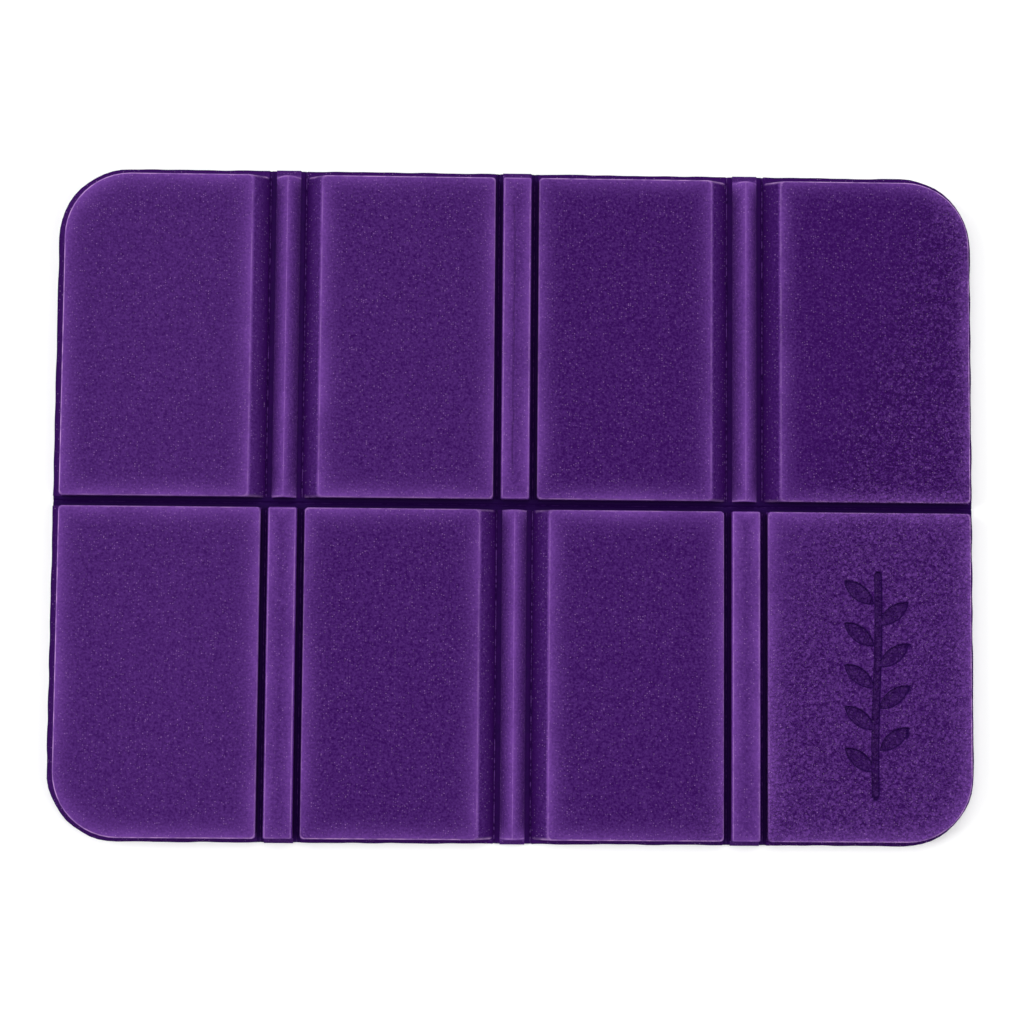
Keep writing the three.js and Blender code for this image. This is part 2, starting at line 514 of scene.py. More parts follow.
def panel_loops(low, high, kinds, sections, steps, shape):
    """The panel's loops from its underside up, and for each of its points: the height, how far past the top
    edge it is, how strong the painted edge highlight is there, and how strong the painted highlight at the
    slope's end is."""
    outer = np.array([1.0 if kind == "outer" else 0.0 for kind in kinds])
    handled, ends = [EDGE_HIGHLIGHT[kind] for kind in kinds], slope_ends(kinds)
    last_highlit = BASE_LOOPS + len(WALL_STOPS) + EDGE_STEPS // 2
    places, heights, reaches, wear_and_highlight, end_highlights = [], [], [], [], []
    for i in range(len(sections[0][0])):
        insets = [section[0][i] for section in sections]
        outline = Outline(low, high, insets, corner_radii(kinds, sections, i, shape), steps)
        points = outline.loop()
        if i < RIM_LOOPS:
            stray = 0.5 + 0.5 * uneven(points[:, 0], points[:, 1], STRAY_SIZE, seed=5)
            drawn_in = shape.rim_wander * stray * outline.ring(outer)
            points = points + outline.loop_inward() * drawn_in[:, None]
        places.append(points)
        heights.append(outline.ring([section[1][i] for section in sections]))
        reaches.append(outline.ring([section[2][i] for section in sections]))
        wear_and_highlight.append(outline.ring(handled))
        end_highlights.append(outline.corner_ring(ends) * (BASE_LOOPS < i <= last_highlit))
    return places, heights, reaches, wear_and_highlight, end_highlights


def make_panel(row, column, shape, materials):
    """One thick panel with its length of thin rim, as one closed surface."""
    node = f"{row}_panel_{COLUMNS[column]}"
    low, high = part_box(node)
    top_low, top_high = corners_above(node, THICKNESS - 0.01 * MM)
    kinds = side_kinds(row, column)
    steps_in = [top_low[1] - low[1], high[0] - top_high[0], high[1] - top_high[1], top_low[0] - low[0]]
    sections = []
    for kind, step in zip(kinds, steps_in):
        rim, run = (step, 0.0) if kind == "outer" else (0.0, step)
        sections.append(side_section(kind, rim, max(run, LEAST_RUN), shape))
    marked = node == "near_panel_4"
    middle = (top_low + top_high) / 2 + np.array(SPRIG_OFFSET)
    along_x, along_y = side_steps(low, high, middle if marked else None, shape)
    steps = [along_x, along_y, (1 - along_x)[::-1], (1 - along_y)[::-1]]
    places, *measures = panel_loops(low, high, kinds, sections, steps, shape)

    # Strips of faces join the loops, and a patch of faces closes the top and the underside
    size = len(places[0])
    columns, rows = (len(along) - 1 + 2 * ARC_STEPS for along in (along_x, along_y))
    loops = np.arange(len(places) * size).reshape(len(places), size)
    here, following = loops[:-1], loops[1:]
    onward = [np.roll(ring, -1, axis=1) for ring in (here, following)]
    faces = [np.stack([here, *onward, following], -1).reshape(-1, 4)]
    flat = [np.concatenate(places)]
    heights, reach, wear_and_highlight, end_highlights = ([np.concatenate(measure)] for measure in measures)
    count, most_reach = len(flat[0]), measures[1][-1].max()
    for ring, level, faced_up in ((-1, THICKNESS, True), (0, 0.0, False)):
        corners = [0, columns, columns + rows, 2 * columns + rows, size]
        loop_points = np.vstack([places[ring], places[ring][:1]])
        sides = [loop_points[corners[k]:corners[k + 1] + 1] for k in range(4)]
        filled = patch(*sides)[1:-1, 1:-1].reshape(-1, 2)
        numbers = patch_numbers(loops[ring], columns, rows, count)
        faces.append(grid_faces(numbers) if faced_up else grid_faces(numbers)[:, ::-1])
        flat.append(filled)
        fillings = (level, most_reach if faced_up else UNDERSIDE_REACH, 0.0, 0.0)
        for measure, value in zip((heights, reach, wear_and_highlight, end_highlights), fillings):
            measure.append(np.full(len(filled), value))
        count += len(filled)

    x, y = np.concatenate(flat).T
    z, reach = np.concatenate(heights), np.concatenate(reach)
    upper = smooth_step((z - SHEET) / (THICKNESS - FULL_SWELL - SHEET))
    z = z - upper * SWELL_DEPTH * (1 + uneven(x, y, SWELL_SIZE, seed=3))
    pressed = sprig_depth(x - middle[0], y - middle[1]) * (reach > 2 * MM) * marked
    points = np.column_stack([x, y, z - shape.motif_depth * pressed])
    panel = mesh_piece(node.replace("panel", "foam_panel"), points, np.concatenate(faces))
    add_measure(panel, "past_edge", reach / MM)
    add_measure(panel, "pressed", pressed)
    # Painted highlight along the top edge and at the slope's ends
    add_measure(panel, "handled", np.concatenate(wear_and_highlight))
    add_measure(panel, "slope_end", np.concatenate(end_highlights))
    # Each panel's painted light: brighter towards the pad's left, where the key lamp shines from, and on the
    # near right panel's sheen
    add_measure(panel, "paleness", np.full(len(points), PANEL_PAINTED_LIGHT[row][column]))
    leathery = smooth_step((x - LEATHERY_FROM - LEATHERY_SLANT * y) / LEATHERY_FADE)
    add_measure(panel, "wrinkled", leathery)
    panel.data.materials.append(materials["panel"])
    return panel


def mesh_piece(name, points, faces):
    """A smooth mesh object at the origin, with creases where it turns sharply."""
    mesh = bpy.data.meshes.new(name)
    mesh.from_pydata(points.tolist(), [], faces.tolist())
    mesh.shade_smooth()
    mesh.set_sharp_from_angle(angle=SHARP_ANGLE)
    piece = bpy.data.objects.new(name, mesh)
    bpy.context.scene.collection.objects.link(piece)
    return piece


def add_measure(piece, name, values):
    """Gives each point of a piece a number that its material reads."""
    measure = piece.data.attributes.new(name, "FLOAT", "POINT")
    measure.data.foreach_set("value", np.asarray(values, np.float32))


# ---------------------------------------------------------------- spines

MATH = "ShaderNodeMath"
RANGE = "ShaderNodeMapRange"
NOISE = "ShaderNodeTexNoise"
VECTOR_MATH = "ShaderNodeVectorMath"
SPINE_ACROSS = 41
SPINE_ALONG = 241
SPINE_LEVELS = 8
SPLIT_HALF_WIDTH = 0.8 * MM
SPLIT_DEPTH = 0.5 * MM

# Size and height of a spine's swells, how much of a panel's edge radius a dome has at its ends, how much
# painted light the spines take all over, and how strong the painted highlight along their edges is
BUMP_SIZE = 14 * MM
SPINE_UNEVENNESS = 0.35 * MM
DOME_EDGE = 0.55
DOME_PAINTED_LIGHT = 0.75
FLAT_PAINTED_LIGHT = 0.55
SPINE_EDGE_HIGHLIGHT = 0.5


def spine_tree():
    """A spine's shape: a block with rounded top edges, or a dome, that ends in a tongue of the thin rim."""
    tree, given = shape_tree("Pressed spine", {
        "Width": "NodeSocketFloat", "Length": "NodeSocketFloat", "Body Length": "NodeSocketFloat",
        "Height": "NodeSocketFloat", "Sheet": "NodeSocketFloat", "Edge Radius": "NodeSocketFloat",
        "Domed": "NodeSocketBool", "Unevenness": "NodeSocketFloat", "Split Depth": "NodeSocketFloat",
        "Seed": "NodeSocketFloat", "Centre X": "NodeSocketFloat", "Inner Y": "NodeSocketFloat",
        "Direction": "NodeSocketFloat", "Material": "NodeSocketMaterial",
    })
    node = partial(add_node, tree)
    block = node("GeometryNodeMeshCube", {
        "Size": (1, 1, 1), "Vertices X": SPINE_ACROSS, "Vertices Y": SPINE_ALONG, "Vertices Z": SPINE_LEVELS,
    })
    # Each point's share of the width, length and height. Points crowd towards the sides and the ends.
    share = node(VECTOR_MATH, {0: node("GeometryNodeInputPosition"), 1: (0.5, 0.5, 0.5)}, operation="ADD")
    crowded = node(RANGE, {6: share}, data_type="FLOAT_VECTOR", interpolation_type="SMOOTHSTEP")
    shift = node(VECTOR_MATH, {0: crowded.outputs[1], 1: share}, operation="SUBTRACT")
    eased = node(VECTOR_MATH, {0: shift, 1: (0.7, 0.85, 0), 2: share}, operation="MULTIPLY_ADD")
    across, along, level = node("ShaderNodeSeparateXYZ", {0: eased}).outputs
    centred = node(MATH, {0: across, 1: 0.5}, operation="SUBTRACT")
    x = node(MATH, {0: centred, 1: given["Width"]}, operation="MULTIPLY")
    far = node(MATH, {0: along, 1: given["Length"]}, operation="MULTIPLY")

    # The dome is one half wave above the sheet
    half_turn = node(MATH, {0: centred, 1: math.pi}, operation="MULTIPLY")
    wave = node(MATH, {0: half_turn}, operation="COSINE")
    above = node(MATH, {0: given["Height"], 1: given["Sheet"]}, operation="SUBTRACT")
    dome = node(MATH, {0: wave, 1: above, 2: given["Sheet"]}, operation="MULTIPLY_ADD")
    top = node("GeometryNodeSwitch", {0: given["Domed"], 1: given["Height"], 2: dome}, input_type="FLOAT")
    z = node(MATH, {0: level, 1: top}, operation="MULTIPLY")

    # How far each point is past the core that the rounding leaves alone
    radius = given["Edge Radius"]
    half_width = node(MATH, {0: given["Width"], 1: 0.5}, operation="MULTIPLY")
    half_body = node(MATH, {0: given["Body Length"], 1: 0.5}, operation="MULTIPLY")
    off_side = node(MATH, {0: x}, operation="ABSOLUTE")
    room = node(MATH, {0: half_width, 1: off_side}, operation="SUBTRACT")
    # A dome has no side edges to round, so its sides count as a metre away
    open_room = node(MATH, {0: room, 1: given["Domed"]}, operation="ADD")
    on_body = node(MATH, {0: far, 1: given["Body Length"]}, operation="MINIMUM")
    off_middle = node(MATH, {0: on_body, 1: half_body}, operation="SUBTRACT")
    off_centre = node(MATH, {0: off_middle}, operation="ABSOLUTE")
    end_room = node(MATH, {0: half_body, 1: off_centre}, operation="SUBTRACT")
    under_top = node(MATH, {0: top, 1: radius}, operation="SUBTRACT")
    core_top = node(MATH, {0: under_top, 1: 0.0}, operation="MAXIMUM")
    past = [
        node(MATH, {0: radius, 1: open_room}, operation="SUBTRACT"),
        node(MATH, {0: radius, 1: end_room}, operation="SUBTRACT"),
        node(MATH, {0: z, 1: core_top}, operation="SUBTRACT"),
    ]
    past = node("ShaderNodeCombineXYZ", dict(enumerate(past)))
    past = node(VECTOR_MATH, {0: past, 1: (0, 0, 0)}, operation="MAXIMUM")
    distance = node(VECTOR_MATH, {0: past}, operation="LENGTH").outputs["Value"]
    kept = node(MATH, {0: radius, 1: distance}, operation="DIVIDE")
    kept = node(MATH, {0: kept, 1: 1.0}, operation="MINIMUM")
    lost = node(MATH, {0: 1.0, 1: kept}, operation="SUBTRACT")
    pull = node(VECTOR_MATH, {0: past, "Scale": lost}, operation="SCALE")
    signs = node("ShaderNodeCombineXYZ", {
        0: node(MATH, {0: x}, operation="SIGN"), 1: node(MATH, {0: off_middle}, operation="SIGN"), 2: 1.0,
    })
    pulled = node(VECTOR_MATH, {0: pull, 1: signs}, operation="MULTIPLY")
    boxy = node("ShaderNodeCombineXYZ", {0: x, 1: far, 2: z})
    rounded = node(VECTOR_MATH, {0: boxy, 1: pulled}, operation="SUBTRACT")

    # Past the body's end only the thin rim goes on
    rim_z = node(MATH, {0: level, 1: given["Sheet"]}, operation="MULTIPLY")
    rim = node("ShaderNodeCombineXYZ", {0: x, 1: far, 2: rim_z})
    rim_start = node(MATH, {0: given["Body Length"], 1: 0.02 * MM}, operation="ADD")
    on_rim = node("FunctionNodeCompare", {0: far, 1: rim_start}, operation="GREATER_THAN")
    shaped = node("GeometryNodeSwitch", {0: on_rim, 1: rounded, 2: rim}, input_type="VECTOR")

    # Slight unevenness, and a shallow split along the middle of the top
    bumps = node(NOISE, {"Vector": boxy, "W": given["Seed"], "Scale": 1 / BUMP_SIZE}, noise_dimensions="4D")
    swell = node(MATH, {0: bumps, 1: 0.5}, operation="SUBTRACT")
    swell = node(MATH, {0: swell, 1: given["Unevenness"]}, operation="MULTIPLY")
    stray = node(MATH, {0: bumps, 1: 2.4 * MM, 2: -2.2 * MM}, operation="MULTIPLY_ADD")
    off_split = node(MATH, {0: x, 1: stray}, operation="SUBTRACT")
    off_split = node(MATH, {0: off_split}, operation="ABSOLUTE")
    split = node(RANGE, {0: off_split, 1: 0.0, 2: SPLIT_HALF_WIDTH, 3: given["Split Depth"], 4: 0.0},
                 interpolation_type="SMOOTHSTEP")
    split_ends = node(RANGE, {0: end_room, 1: 6 * MM, 2: 14 * MM}, interpolation_type="SMOOTHSTEP")
    split_depth = node(MATH, {0: split, 1: split_ends}, operation="MULTIPLY")
    lift = node(MATH, {0: swell, 1: split_depth}, operation="SUBTRACT")
    topmost = node("FunctionNodeCompare", {0: level, 1: 0.999}, operation="GREATER_THAN")
    lift_top = node(MATH, {0: lift, 1: topmost}, operation="MULTIPLY")
    lift_body = node("GeometryNodeSwitch", {0: on_rim, 1: lift_top, 2: 0.0}, input_type="FLOAT")

    placed_x, placed_y, placed_z = node("ShaderNodeSeparateXYZ", {0: shaped}).outputs
    final = node("ShaderNodeCombineXYZ", {
        0: node(MATH, {0: placed_x, 1: given["Direction"], 2: given["Centre X"]}, operation="MULTIPLY_ADD"),
        1: node(MATH, {0: placed_y, 1: given["Direction"], 2: given["Inner Y"]}, operation="MULTIPLY_ADD"),
        2: node(MATH, {0: placed_z, 1: lift_body}, operation="ADD"),
    })

    # What the material reads: millimetres in from the top edge, and less than nothing down the walls
    beyond = node(MATH, {0: given["Body Length"], 1: far}, operation="SUBTRACT")
    # A dome takes the painted highlight along its crest, as a flat spine does along its edges
    off_crest = node(MATH, {0: off_side, 1: 2.0, 2: 0.7 * MM}, operation="MULTIPLY_ADD")
    inside = node("GeometryNodeSwitch", {0: given["Domed"], 1: room, 2: off_crest}, input_type="FLOAT")
    nearest = node(MATH, {0: inside, 1: far}, operation="MINIMUM")
    nearest = node(MATH, {0: nearest, 1: beyond}, operation="MINIMUM")
    inward = node(MATH, {0: nearest, 1: 1 / MM, 2: -0.6}, operation="MULTIPLY_ADD")
    down = node(MATH, {0: 1.0, 1: level}, operation="SUBTRACT")
    down = node(MATH, {0: down, 1: THICKNESS / MM}, operation="MULTIPLY")
    measure = node(MATH, {0: inward, 1: down}, operation="SUBTRACT")
    stored = node("GeometryNodeStoreNamedAttribute", {
        "Geometry": block, "Name": "past_edge", "Value": measure,
    }, data_type="FLOAT", domain="POINT")
    moved = node("GeometryNodeSetPosition", {"Geometry": stored, "Position": final})
    finish_tree(tree, moved, given["Material"])
    return tree


def make_spines(shape, materials):
    """All six spines: flat ones between slits and domed ones in vee grooves."""
    tree = spine_tree()
    for row in ROWS:
        direction = -1.0 if row == "near" else 1.0
        for seed, fold in enumerate(FOLDS):
            node = f"{row}_spine_{fold}"
            low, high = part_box(node)
            body_low, body_high = corners_above(node, 1.01 * SHEET)
            domed = fold in VEE_FOLDS[row]
            spine = piece_from_tree(f"{row}_foam_spine_{fold}", tree, {
                "Width": high.x - low.x, "Length": high.y - low.y, "Body Length": body_high[1] - body_low[1],
                "Height": high.z, "Sheet": SHEET, "Domed": domed, "Unevenness": SPINE_UNEVENNESS,
                "Edge Radius": DOME_EDGE * shape.edge_radius if domed else shape.edge_radius,
                "Split Depth": SPLIT_DEPTH if node == "far_spine_23" else 0.0,
                "Seed": 3.7 * seed + direction, "Centre X": (low.x + high.x) / 2,
                "Inner Y": direction * HALF_CREASE, "Direction": direction, "Material": materials["spine"],
            })
            count = len(spine.data.vertices)
            # Painted light: each spine is painted lighter all over, a dome more than a flat one, and its
            # edges take the painted highlight
            add_measure(spine, "paleness", np.full(count, DOME_PAINTED_LIGHT if domed else FLAT_PAINTED_LIGHT))
            add_measure(spine, "handled", np.full(count, SPINE_EDGE_HIGHLIGHT))
            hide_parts(node)
            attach(spine, f"{row}_{fold}")


# ---------------------------------------------------------------- living hinges

HINGE_ACROSS = 17
HINGE_STEP = 0.55 * MM

# A strip's thickness and how far its underside is drawn up, its scored line, its fine wrinkles, and how much
# painted light its web and pale line take in each kind of groove, with painted shade in the narrow slits and
# most in the crease
STRIP_THICKNESS = 0.9 * SHEET
STRIP_RECESS = 0.15 * MM
SCORE_DEPTH = 0.45 * SHEET
SCORE_HALF_WIDTH = 0.8 * MM
WEB_WRINKLE_SIZE = 1.6 * MM
WEB_WRINKLE_HEIGHT = 0.3 * MM
VEE_WEB_LIGHT = 0.8
SLIT_WEB_LIGHT = 0.3
CREASE_WEB_LIGHT = 0.1
CREASE_SEED = 40

# Gaps and laps between the strips: the frame's own gap beside a hinge, how far two halves of one strip lap,
# and how far a crease length laps the next
CAD_GAP = 0.3 * MM
SCORE_LAP = 0.05 * MM
CREASE_LAP = 0.17 * MM


def hinge_tree():
    """A living hinge's shape: a thin strip along Y with a scored line where it bends, and fine wrinkles."""
    tree, given = shape_tree("Living hinge", {
        "Width": "NodeSocketFloat", "Length": "NodeSocketFloat", "Steps": "NodeSocketInt",
        "Thickness": "NodeSocketFloat", "Recess": "NodeSocketFloat", "Score Depth": "NodeSocketFloat",
        "Score Place": "NodeSocketFloat", "Score Half Width": "NodeSocketFloat",
        "Wrinkle Height": "NodeSocketFloat", "Seed": "NodeSocketFloat", "Centre": "NodeSocketVector",
        "Turn": "NodeSocketRotation", "Material": "NodeSocketMaterial",
    })
    node = partial(add_node, tree)
    size = node("ShaderNodeCombineXYZ", {0: given["Width"], 1: given["Length"], 2: 1.0})
    strip = node("GeometryNodeMeshCube", {
        "Size": size, "Vertices X": HINGE_ACROSS, "Vertices Y": given["Steps"], "Vertices Z": 2,
    })
    place = node("GeometryNodeInputPosition")
    across, along, level = node("ShaderNodeSeparateXYZ", {0: place}).outputs
    upper = node("FunctionNodeCompare", {0: level, 1: 0.0}, operation="GREATER_THAN")

    off_score = node(MATH, {0: across, 1: given["Score Place"]}, operation="SUBTRACT")
    off_score = node(MATH, {0: off_score}, operation="ABSOLUTE")
    score = node(RANGE, {0: off_score, 1: 0.0, 2: given["Score Half Width"],
                                        3: given["Score Depth"], 4: 0.0}, interpolation_type="SMOOTHSTEP")
    drawn = node(VECTOR_MATH, {0: place, 1: (1.0, 0.35, 0.0)}, operation="MULTIPLY")
    folds = node(NOISE, {
        "Vector": drawn, "W": given["Seed"], "Scale": 1 / WEB_WRINKLE_SIZE, "Detail": 3.0, "Distortion": 0.8,
    }, noise_dimensions="4D")
    wrinkle = node(MATH, {0: folds, 1: 0.5}, operation="SUBTRACT")
    wrinkle = node(MATH, {0: wrinkle, 1: given["Wrinkle Height"]}, operation="MULTIPLY")
    scored = node(MATH, {0: given["Thickness"], 1: score}, operation="SUBTRACT")
    high = node(MATH, {0: scored, 1: wrinkle}, operation="ADD")
    z = node("GeometryNodeSwitch", {0: upper, 1: given["Recess"], 2: high}, input_type="FLOAT")
    # The material reads how many millimetres a point is from the line where the web bends
    off_fold = node(MATH, {0: off_score, 1: 1 / MM}, operation="MULTIPLY")
    stored = node("GeometryNodeStoreNamedAttribute", {
        "Geometry": strip, "Name": "off_fold", "Value": off_fold,
    }, data_type="FLOAT", domain="POINT")
    moved = node("GeometryNodeSetPosition", {
        "Geometry": stored, "Position": node("ShaderNodeCombineXYZ", {0: across, 1: along, 2: z}),
    })
    laid = node("GeometryNodeTransform", {
        "Geometry": moved, "Translation": given["Centre"], "Rotation": given["Turn"],
    })
    finish_tree(tree, laid, given["Material"])
    return tree


def make_strip(name, tree, low, high, score, handled, materials, seed):
    """One strip of living hinge between two corners in X and Y.

    score is where it bends, across its length, and the argument after it sets the weight of painted light on
    the web and its pale line: low in a narrow slit or the crease, which take painted shade.
    """
    spans = (high[0] - low[0], high[1] - low[1])
    crosswise = 1 if spans[0] > spans[1] else 0
    middle = [(low[i] + high[i]) / 2 for i in (0, 1)]
    length = spans[1 - crosswise]
    strip = piece_from_tree(name, tree, {
        "Width": spans[crosswise], "Length": length, "Steps": max(3, round(length / HINGE_STEP)),
        "Thickness": STRIP_THICKNESS, "Recess": STRIP_RECESS, "Score Depth": SCORE_DEPTH,
        "Score Place": score - middle[crosswise], "Score Half Width": SCORE_HALF_WIDTH,
        "Wrinkle Height": WEB_WRINKLE_HEIGHT, "Seed": float(seed),
        "Centre": (*middle, 0.0), "Turn": (0.0, 0.0, math.pi / 2 if crosswise else 0.0),
        "Material": materials["hinge"],
    })
    add_measure(strip, "handled", np.full(len(strip.data.vertices), handled))
    return strip


def make_cross_hinges(row, shape, materials):
    """The hinge strips on both sides of each spine of a row.

    A near strip bends between its panel and its spine. The far row's pieces hang on the near row's,
    so each far strip is in two halves that meet at the hinge line, one on the panel and one on the spine.
    """
    tree = hinge_tree()
    for fold in FOLDS:
        for side, direction, column in (("left", -1, fold[0]), ("right", 1, fold[1])):
            node = f"{row}_hinge_{fold}_{side}"
            low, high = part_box(node)
            line = hinge_line(f"near_{fold}", f"near_{column}")
            reach = CAD_GAP + shape.tuck
            # Painted shade: a web in a narrow slit takes less painted light than one in an open vee groove
            handled = VEE_WEB_LIGHT if fold in VEE_FOLDS[row] else SLIT_WEB_LIGHT
            seed = ord(fold[0]) + direction
            rim_end, crease_end = shape.rim_wander, SCORE_LAP
            near_end, far_end = (rim_end, crease_end) if row == "near" else (crease_end, rim_end)
            y0, y1 = low.y + near_end, high.y - far_end
            spine_x = (low.x if direction > 0 else high.x) - direction * reach
            panel_x = (high.x if direction > 0 else low.x) + direction * reach
            if row == "near":
                strip = make_strip(f"{row}_web_{fold}_{side}", tree, (min(spine_x, panel_x), y0),
                                   (max(spine_x, panel_x), y1), line, handled, materials, seed)
                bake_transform(strip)
                halves = [strip]
            else:
                halves = []
                for part, x, body in (("panel", panel_x, f"far_{column}"), ("spine", spine_x, f"far_{fold}")):
                    outer = line + (SCORE_LAP if x < line else -SCORE_LAP)
                    half = make_strip(f"{row}_web_{fold}_{side}_{part}", tree, (min(x, outer), y0),
                                      (max(x, outer), y1), line, handled, materials, seed)
                    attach(half, body)
                    halves.append(half)
            for half in halves:
                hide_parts(node)


def make_crease(shape, materials):
    """The crease between the rows, in the lengths that turn with each column."""
    tree = hinge_tree()
    for seed, column in enumerate(CREASE_LENGTHS):
        node = f"crease_hinge_{column}"
        low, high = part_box(node)
        x0 = low.x + (shape.rim_wander if column == "1" else -CREASE_LAP)
        x1 = high.x - (shape.rim_wander if column == "4" else -CREASE_LAP)
        reach = HALF_CREASE + shape.tuck
        # The crease's web takes the least painted light, so the most painted shade
        strip = make_strip(f"crease_web_{column}", tree, (x0, -reach), (x1, reach), 0.0, CREASE_WEB_LIGHT,
                           materials, CREASE_SEED + seed)
        # From the far row to the near row, so that a half turn goes round on the underside's line
        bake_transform(strip)
        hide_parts(node)

# ---------------------------------------------------------------- materials

# Sizes of the patterns: the skin's pebbles, its leathery wrinkles and the painted highlights on their tops,
# its bright specks of painted glint, the clouds in its paler band of stretched skin and painted sheen and the
# breaks in its painted edge highlight, the web's mottle and its crackled line
PEBBLE_SIZE = 1.0 * MM
LEATHER_SIZE = 1.9 * MM
LEATHER_TOP_SIZE = 1.5 * MM
SPECK_SIZE = 0.95 * MM
CLOUD_SIZE = 30 * MM
BREAK_SIZE = 5 * MM
MOTTLE_SIZE = 3 * MM
CRACKLE_SIZE = 1.4 * MM
PAPER_TOOTH = 2 * MM

# The paler band of stretched skin and painted sheen: its reach in from the edge in millimetres, how fast it
# fades, and how strong it is
BAND_REACH = 18.0
BAND_POWER = 4.5
BAND_STRENGTH = 0.75


def start_material(name):
    """A material with a Principled shader, and with it a node maker, the shader and Object coordinates."""
    material = bpy.data.materials.new(name)
    material.use_nodes = True
    tree = material.node_tree
    node = partial(add_node, tree)
    return material, node, tree.nodes["Principled BSDF"], node("ShaderNodeTexCoord").outputs["Object"]


def add_pebble(node, shader, place, coarse, height):
    """Bump of a foam skin: fine pebbles, with leathery wrinkles where coarse is 1."""
    pebble = node(NOISE, {"Vector": place, "Scale": 1 / PEBBLE_SIZE, "Detail": 2.0, "Roughness": 0.6})
    wrinkle = node("ShaderNodeTexVoronoi", {"Vector": place, "Scale": 1 / LEATHER_SIZE, "Randomness": 1.0},
                   feature="DISTANCE_TO_EDGE")
    bend = node(RANGE, {0: wrinkle, 1: 0.0, 2: 0.25}, interpolation_type="SMOOTHSTEP")
    deep = node(MATH, {0: bend, 1: coarse}, operation="MULTIPLY")
    total = node(MATH, {0: deep, 1: 1.2, 2: pebble}, operation="MULTIPLY_ADD")
    bump = node("ShaderNodeBump", {"Height": total, "Distance": height, "Strength": 1.0})
    shader.id_data.links.new(bump.outputs[0], shader.inputs["Normal"])
    return pebble, deep


def finish_skin(material, shader, colour, roughness, ior, specular):
    """Links a foam skin's colour and roughness to its shader and sets how glossy it is."""
    links = material.node_tree.links
    links.new(colour, shader.inputs["Base Color"])
    links.new(roughness, shader.inputs["Roughness"])
    shader.inputs["IOR"].default_value = ior
    shader.inputs["Specular IOR Level"].default_value = specular
    return material


